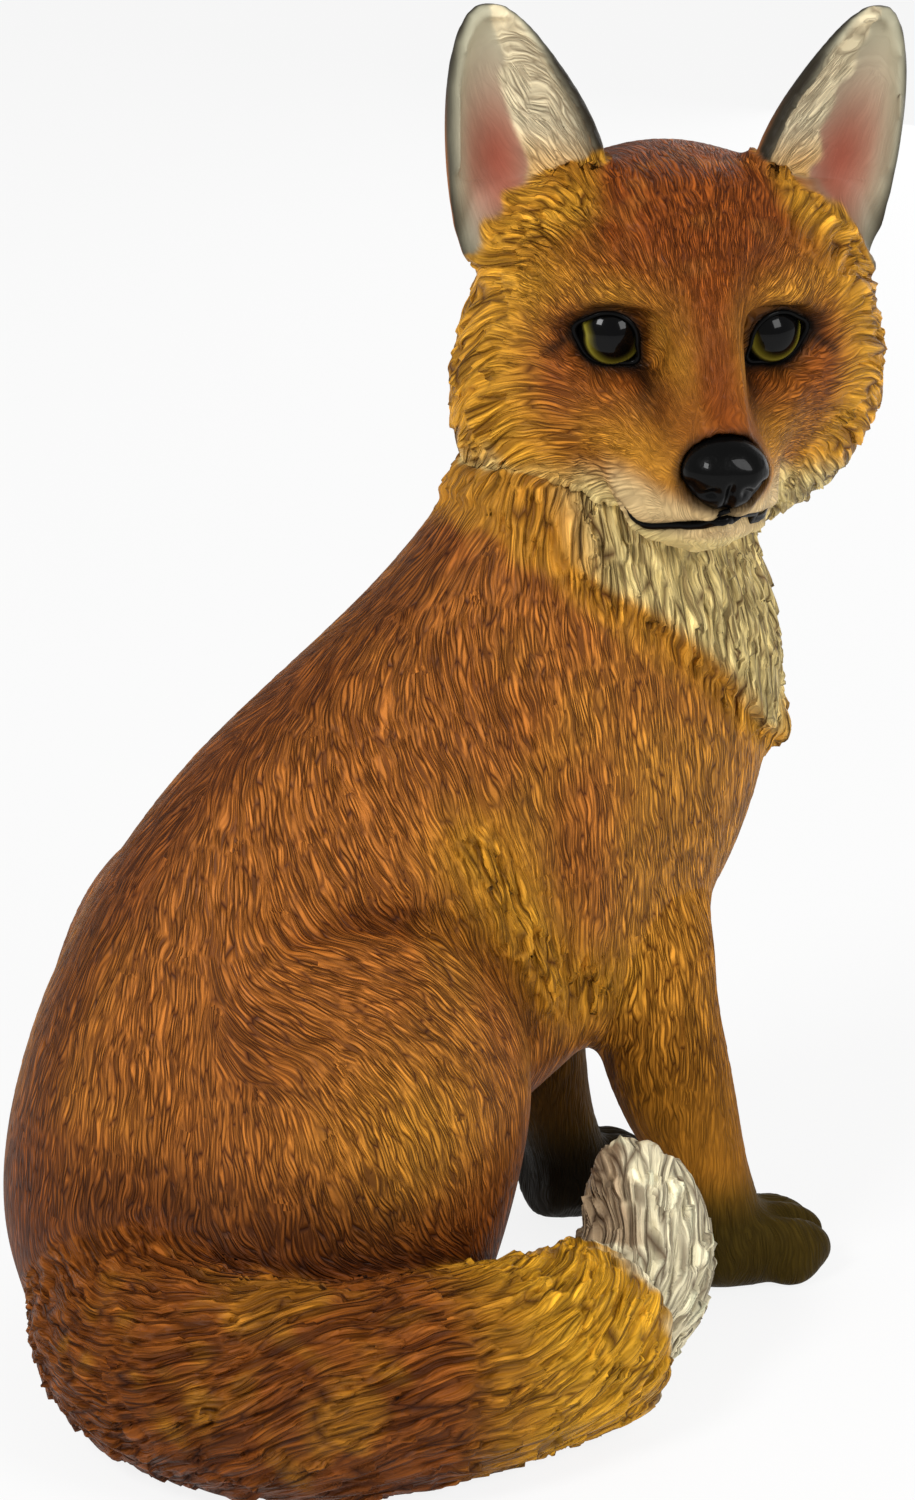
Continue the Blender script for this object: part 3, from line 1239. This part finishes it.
def ramp_of(nodes, stops):
    """A colour ramp with these stops."""
    ramp = nodes.new("ShaderNodeValToRGB")
    elements = ramp.color_ramp.elements
    while len(elements) < len(stops):
        elements.new(0.5)
    for element, (at, tone) in zip(elements, stops):
        element.position, element.color = at, (*tone, 1)
    return ramp


def glossy(shader, roughness, coat_weight):
    """A weak sheen under a thin clear coat."""
    shader.inputs["Roughness"].default_value = roughness
    shader.inputs["Specular IOR Level"].default_value = 0.04
    shader.inputs["Coat Weight"].default_value = coat_weight
    shader.inputs["Coat Roughness"].default_value = 0.04


def eye_material():
    """A painted glass eye: black pupil, olive iris that brightens outwards, and a dark edge."""
    material, nodes, links, shader = new_material("glass_eye")
    ring = nodes.new("ShaderNodeAttribute")
    ring.attribute_name = "ring"
    iris = linear(84, 76, 20)
    stops = [
        (0.0, linear(3, 3, 4)), (0.54, linear(5, 5, 4)), (0.62, linear(40, 36, 10)), (0.72, iris),
        (0.83, linear(134, 124, 44)), (0.90, linear(56, 50, 18)), (0.96, linear(6, 6, 4)),
    ]
    ramp = ramp_of(nodes, stops)
    links.new(ring.outputs["Fac"], ramp.inputs[0])
    links.new(ramp.outputs[0], shader.inputs["Base Color"])
    glossy(shader, 0.15, 0.24)
    return material


def black_material(name, roughness, coat_weight, bumps):
    """Black paint under clear gloss."""
    material, nodes, links, shader = new_material(name)
    shader.inputs["Base Color"].default_value = (0.002, 0.002, 0.002, 1)
    glossy(shader, roughness, coat_weight)
    if bumps:
        where = nodes.new("ShaderNodeTexCoord")
        noise = nodes.new("ShaderNodeTexNoise")
        noise.inputs["Scale"].default_value = 520
        links.new(where.outputs["Object"], noise.inputs["Vector"])
        bump = nodes.new("ShaderNodeBump")
        bump.inputs["Strength"].default_value = 0.5
        bump.inputs["Distance"].default_value = 0.4 * MM
        links.new(noise.outputs[0], bump.inputs["Height"])
        links.new(bump.outputs["Normal"], shader.inputs["Normal"])
    return material


glass = eye_material()
gloss = black_material("gloss_black", 0.4, 0.08, False)
leather = black_material("nose_gloss", 0.35, 0.16, True)
# Where each pupil looks, from the middle of its eye: left and up
GAZE = {-1: (2.6, 0.9), 1: (-0.6, 2.0)}
PUPIL_EDGE = 11.6

for side, name in ((-1, "right"), (1, "left")):
    middle, axes = eye_axes(side)
    ball = middle - BALL_SINK * axes[2]
    bpy.ops.mesh.primitive_uv_sphere_add(segments=64, ring_count=40, radius=MM)
    eye = bpy.context.active_object
    round_points = points_of(eye) * BALL_RADIUS
    gaze = round_points - np.array((*GAZE[side], BALL_RADIUS))
    stands_for = (name + "_eye_lens", name + "_eye_iris")
    placed(name + "_glass_eye", ball + round_points @ axes, glass, stands_for)
    under_lid = 0.3 * smooth_step(0.5, 6.5, round_points[:, 1])
    keep_values(eye, "ring", np.clip(np.linalg.norm(gaze, axis=1) / PUPIL_EDGE - under_lid, 0, 1))
    bpy.ops.mesh.primitive_torus_add(major_segments=72, minor_segments=14, major_radius=MM, minor_radius=0.085 * MM)
    rim = points_of(bpy.context.active_object)
    turn = np.arctan2(rim[:, 1], side * rim[:, 0])
    reach = np.hypot(rim[:, 0], rim[:, 1])
    wide = (1 + (reach - 1) * 1.1) * eye_reach(turn)
    tilt = LID_HEIGHT + 0.9 * np.sin(turn) - 1.6 * (eye_reach(turn) - 1)
    across, up = side * np.cos(turn) * wide * EYE_WIDE, np.sin(turn) * wide * EYE_HIGH
    rim = np.stack([across, up, rim[:, 2] * 11 + tilt], axis=1)
    placed(name + "_eye_rim", middle + rim @ axes, gloss, ())

bpy.ops.mesh.primitive_uv_sphere_add(segments=96, ring_count=64, radius=MM)
ball = points_of(bpy.context.active_object)
nose = ball * NOSE_SIZE
nose[:, 0] *= 1 + 0.22 * np.minimum(ball[:, 1], 0)
nose[:, 2] -= 2.5 * bell(nose[:, 0], 1.6) * smooth_step(2, -4, nose[:, 1]) * (ball[:, 2] > 0)
for side in (-1, 1):
    slit = path_distance(nose[:, :2], [(side * 5.5, -4.0), (side * 8.5, -5.5), (side * 11.5, -2.5)])
    nose[:, 2] -= 2.8 * bell(slit, 1.8) * (ball[:, 2] > 0)
    nose[:, 2] += 0.9 * bell(np.hypot(nose[:, 0] - side * 7.5, nose[:, 1] - 3.0), 4.0) * (ball[:, 2] > 0)
placed("nose", SKULL + (nose + NOSE_MIDDLE) @ FACE_AXES, leather, ("nose_pad",))

surface = BVHTree.FromPolygons((points * MM).tolist(), [tuple(p.vertices) for p in skin.data.polygons])


def line_on_skin(name, path, radius, lift):
    """A tube of black gloss along a path on the skin, thinner at its ends."""
    path = np.array(path, float)
    stations = np.linspace(0, len(path) - 1, 6 * len(path))
    smooth = np.stack([np.interp(stations, range(len(path)), path[:, k]) for k in range(3)], axis=1)
    for _ in range(4):
        smooth[1:-1] = (smooth[:-2] + 2 * smooth[1:-1] + smooth[2:]) / 4
    data = bpy.data.curves.new(name, "CURVE")
    data.dimensions, data.bevel_depth, data.bevel_resolution, data.use_fill_caps = "3D", radius * MM, 5, True
    spline = data.splines.new("POLY")
    spline.points.add(len(smooth) - 1)
    for k, place in enumerate(smooth):
        place = SKULL + place @ FACE_AXES
        spot, normal, _, _ = surface.find_nearest(Vector(place * MM))
        spline.points[k].co = (*(spot + normal * lift * MM), 1)
        to_end = min(k, len(smooth) - 1 - k, 6)
        spline.points[k].radius = 0.35 + 0.65 * math.sin(math.pi * to_end / 12)
    obj = bpy.data.objects.new(name, data)
    bpy.context.collection.objects.link(obj)
    only(obj)
    bpy.ops.object.convert(target="MESH")
    obj = bpy.context.active_object
    placed(name, points_of(obj), gloss, ())


line_on_skin("mouth_line", MOUTH_LINE, 1.5, -0.3)
line_on_skin("lip_groove", [(0.5, -35, 84), (0.5, -38, 83), (0.5, -41, 81)], 0.8, -0.1)

split(skin, labels, points)

plain, _, _, plain_shader = new_material("plain_resin")
plain_shader.inputs["Base Color"].default_value = (*linear(120, 74, 44), 1)
plain_shader.inputs["Roughness"].default_value = 0.6
steel, _, _, steel_shader = new_material("rod_steel")
steel_shader.inputs["Base Color"].default_value = (0.5, 0.5, 0.5, 1)
steel_shader.inputs["Metallic"].default_value = 1.0
steel_shader.inputs["Roughness"].default_value = 0.4
for name, node in frame["nodes"].items():
    node.data.materials.clear()
    node.data.materials.append(steel if "rod" in name else plain)


# The studio and the camera


# How white the floor looks to the camera whatever falls on it, and the light from all round
FLOOR_WHITE, AMBIENT = 0.86, 0.4


def studio():
    """A plain pale floor and a white background."""
    bpy.ops.object.select_all(action="DESELECT")
    bpy.ops.mesh.primitive_plane_add(size=12, location=(0, 0, 0))
    floor = bpy.context.active_object
    floor.name = "floor"
    material, nodes, links, shader = new_material("pale_floor")
    shader.inputs["Base Color"].default_value = (0.9, 0.9, 0.9, 1)
    shader.inputs["Roughness"].default_value = 0.9
    shader.inputs["Specular IOR Level"].default_value = 0.0
    white = nodes.new("ShaderNodeEmission")
    white.inputs["Strength"].default_value = 1.0
    math_node = math_maker(nodes, links)
    path = nodes.new("ShaderNodeLightPath")
    seen = math_node("MAXIMUM", path.outputs["Is Camera Ray"], path.outputs["Is Glossy Ray"])
    seen = math_node("MAXIMUM", seen, path.outputs["Is Transmission Ray"])
    mix = nodes.new("ShaderNodeMixShader")
    links.new(math_node("MULTIPLY", seen, FLOOR_WHITE), mix.inputs[0])
    links.new(shader.outputs[0], mix.inputs[1])
    links.new(white.outputs[0], mix.inputs[2])
    links.new(mix.outputs[0], nodes["Material Output"].inputs["Surface"])
    floor.data.materials.append(material)

    world = bpy.data.worlds.new("studio")
    bpy.context.scene.world = world
    world.use_nodes = True
    nodes, links = world.node_tree.nodes, world.node_tree.links
    ambient = nodes["Background"]
    ambient.inputs["Color"].default_value = (1, 1, 1, 1)
    ambient.inputs["Strength"].default_value = AMBIENT
    bright = nodes.new("ShaderNodeBackground")
    bright.inputs["Strength"].default_value = 1.0
    path = nodes.new("ShaderNodeLightPath")
    mix = nodes.new("ShaderNodeMixShader")
    links.new(path.outputs["Is Camera Ray"], mix.inputs[0])
    links.new(ambient.outputs[0], mix.inputs[1])
    links.new(bright.outputs[0], mix.inputs[2])
    links.new(mix.outputs[0], nodes["World Output"].inputs["Surface"])


def lamp(name, place, aim, size, power):
    """A square soft lamp that points at the aim."""
    data = bpy.data.lights.new(name, "AREA")
    data.shape, data.size, data.energy = "SQUARE", size, power
    obj = bpy.data.objects.new(name, data)
    bpy.context.collection.objects.link(obj)
    obj.location = place
    obj.rotation_euler = (aim - place).to_track_quat("-Z", "Y").to_euler()


CAMERA_TURN, CAMERA_TILT, CAMERA_AWAY = 240.0, 20.0, 1.9
CAMERA_AIM = Vector((-0.007, -0.0716, 0.199))
CAMERA_LENS, CAMERA_SENSOR = 139.2, 36.0


def camera():
    """Sets the camera and gives the way from the fox to it."""
    turn, tilt = math.radians(CAMERA_TURN), math.radians(CAMERA_TILT)
    back = Vector((math.sin(turn) * math.cos(tilt), -math.cos(turn) * math.cos(tilt), math.sin(tilt)))
    data = bpy.data.cameras.new("camera")
    data.sensor_fit, data.sensor_height, data.lens = "VERTICAL", CAMERA_SENSOR, CAMERA_LENS
    obj = bpy.data.objects.new("camera", data)
    bpy.context.collection.objects.link(obj)
    obj.location = CAMERA_AIM + back * CAMERA_AWAY
    obj.rotation_euler = back.to_track_quat("Z", "Y").to_euler()
    bpy.context.scene.camera = obj
    return back


studio()
to_camera = camera()
right = Vector((0, 0, 1)).cross(to_camera).normalized()
aim = Vector((0, -0.05, 0.22))
# Each lamp's way to the camera, to the right and up from the aim, its size in metres and its power in watts
LAMPS = {"key": (1.4, -1.0, 0.9, 0.6, 26), "fill": (1.2, 1.2, 0.5, 0.7, 13), "back": (-1.4, 0.7, 0.8, 1.2, 6)}
for name, (near_camera, to_side, above, size, power) in LAMPS.items():
    lamp(name, aim + to_camera * near_camera + right * to_side + Vector((0, 0, above)), aim, size, power)
bpy.context.scene.view_settings.view_transform = "Standard"
